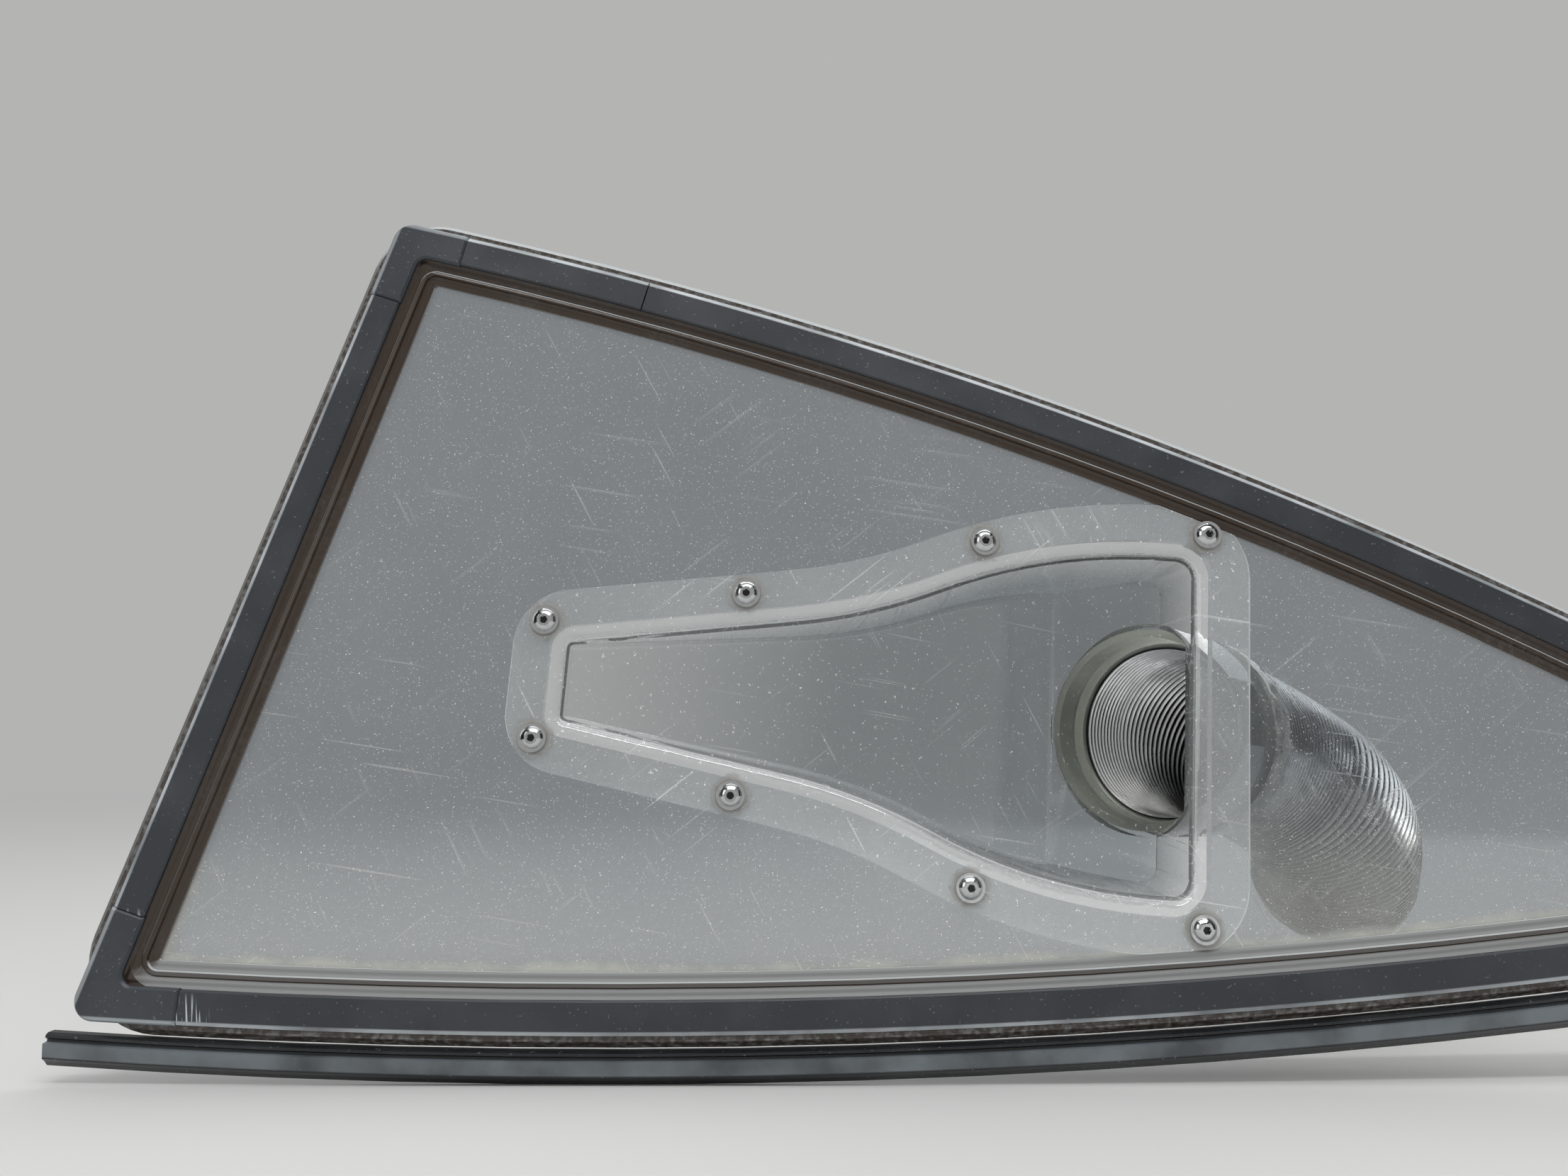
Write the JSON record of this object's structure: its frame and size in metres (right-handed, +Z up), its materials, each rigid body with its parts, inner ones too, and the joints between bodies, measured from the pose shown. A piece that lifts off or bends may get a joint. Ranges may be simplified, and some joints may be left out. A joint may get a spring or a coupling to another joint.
{
  "type": "car rear quarter window with intake duct",
  "caption": "Clear rear quarter window of a sports car in its rubber seal and black trim, with a clear moulded air intake duct screwed to it and a corrugated metal hose.",
  "frame": {"origin": "a point in the opening, on the plane where the rubber seal's outer lip seats on the body", "axes": "+X towards the rear of the car, +Y inboard, square to the pane, +Z up"},
  "size_m": [0.7769, 0.2078, 0.362],
  "materials": {
    "pane_polycarbonate": "clear, finely scratched",
    "seal_rubber": "matt, dusty",
    "trim_strip": "satin black, dusty",
    "trim_cap": "satin black, scuffed",
    "belt_strip": "satin black, dusty",
    "duct_plastic": "clear, moulded, with a hazy lip",
    "collar_plastic": "clear, frosted edge",
    "hose_metal": "bright, corrugated",
    "joint_sealant": "clear, uneven",
    "screw_steel": "polished",
    "nut_steel": "zinc plated"
  },
  "bodies": {
    "root": {"pane": "pane_polycarbonate", "weather_seal": "seal_rubber", "trim_front": "trim_strip", "trim_top_front": "trim_strip", "trim_top": "trim_strip", "trim_bottom": "trim_strip", "cap_front_top": "trim_cap", "cap_front_bottom": "trim_cap", "cap_rear": "trim_cap", "sill_moulding": "belt_strip", "duct": "duct_plastic", "outlet_collar": "collar_plastic", "hose_start": "hose_metal", "hose_middle": "hose_metal", "hose_end": "hose_metal", "hose_joint": "joint_sealant", "screw_1": "screw_steel", "nut_1": "nut_steel", "screw_2": "screw_steel", "nut_2": "nut_steel", "screw_3": "screw_steel", "nut_3": "nut_steel", "screw_4": "screw_steel", "nut_4": "nut_steel", "screw_5": "screw_steel", "nut_5": "nut_steel", "screw_6": "screw_steel", "nut_6": "nut_steel", "screw_7": "screw_steel", "nut_7": "nut_steel", "screw_8": "screw_steel", "nut_8": "nut_steel"}
  },
  "joints": []
}
